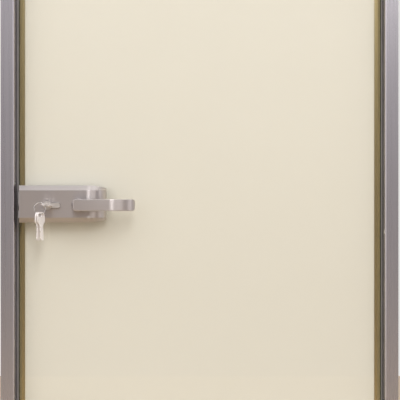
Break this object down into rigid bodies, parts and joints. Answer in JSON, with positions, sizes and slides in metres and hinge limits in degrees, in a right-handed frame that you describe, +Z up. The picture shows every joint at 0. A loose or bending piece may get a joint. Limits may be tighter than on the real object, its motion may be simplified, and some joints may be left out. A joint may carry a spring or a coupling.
{
  "type": "glass interior door",
  "caption": "All-glass interior door leaf hinged in a slim rebated metal frame, with a horizontal lock case, bent lever handle and key, for closing a doorway.",
  "frame": {"origin": "middle of the foot of the lock-side jamb, on the floor", "axes": "+X to the right across the doorway as the pull side is seen, +Y into the door away from that side, +Z up"},
  "size_m": [0.7725, 0.1347, 2.011],
  "materials": {
    "frame_aluminium": "satin anodised",
    "foot_plastic": "moulded",
    "seal_rubber": "matt",
    "clear_glass": "polished, olive tint",
    "cream_coat": "even colour coat",
    "pad_plastic": "plain",
    "stainless": "brushed along its length",
    "zinc_steel": "zinc plated",
    "nickel": "nickel plated",
    "black_plastic": "moulded"
  },
  "bodies": {
    "frame": {"jamb_lock_side": "frame_aluminium", "jamb_hinge_side": "frame_aluminium", "frame_head": "frame_aluminium", "foot_cap_lock_side": "foot_plastic", "foot_cap_hinge_side": "foot_plastic", "seal_lock_side": "seal_rubber", "seal_hinge_side": "seal_rubber", "seal_head": "seal_rubber", "strike_plate": "stainless", "strike_box": "black_plastic", "hinge_frame_part_lower": "stainless", "hinge_frame_part_upper": "stainless", "hinge_pin_lower": "stainless", "hinge_pin_upper": "stainless"},
    "leaf": {"glass_pane": "clear_glass", "cream_coat": "cream_coat", "lock_case_front": "stainless", "lock_case_back": "stainless", "lock_pad_front": "pad_plastic", "lock_pad_back": "pad_plastic", "latch_bolt": "zinc_steel", "dead_bolt": "zinc_steel", "lever_bush_front": "stainless", "lever_bush_back": "stainless", "cylinder_body": "nickel", "cylinder_plug_back": "nickel", "hinge_clamp_front_lower": "stainless", "hinge_clamp_front_upper": "stainless", "hinge_clamp_back_lower": "stainless", "hinge_clamp_back_upper": "stainless", "hinge_pads_lower": "pad_plastic", "hinge_pads_upper": "pad_plastic"},
    "lever": {"lever_front": "stainless", "lever_back": "stainless", "spindle": "zinc_steel"},
    "key": {"cylinder_plug_front": "nickel", "key_in_lock": "nickel"},
    "key_ring": {"key_ring": "nickel", "spare_key_1": "nickel", "spare_key_2": "nickel"}
  },
  "joints": [
    {"name": "leaf_swing", "type": "hinge", "parent": "frame", "child": "leaf", "pos_m": [0.7415, -0.052, 1.05], "axis": [0, 0, 1], "range_deg": [0, 105]},
    {"name": "lever_turn", "type": "hinge", "parent": "leaf", "child": "lever", "pos_m": [0.1373, -0.014, 1.05], "axis": [0, 1, 0], "range_deg": [0, 40], "stiffness_Nm_per_rad": 1.2, "springref_deg": -34.38},
    {"name": "key_turn", "type": "hinge", "parent": "leaf", "child": "key", "pos_m": [0.0792, -0.0565, 1.0495], "axis": [0, -1, 0], "range_deg": [0, 102]},
    {"name": "ring_hang", "type": "hinge", "parent": "key", "child": "key_ring", "pos_m": [0.0701, -0.077, 1.05143], "axis": [0, -1, 0], "range_deg": [-102, 0]}
  ],
  "couplings": [
    {"joint": "ring_hang", "follows": "key_turn", "ratio": -1}
  ]
}
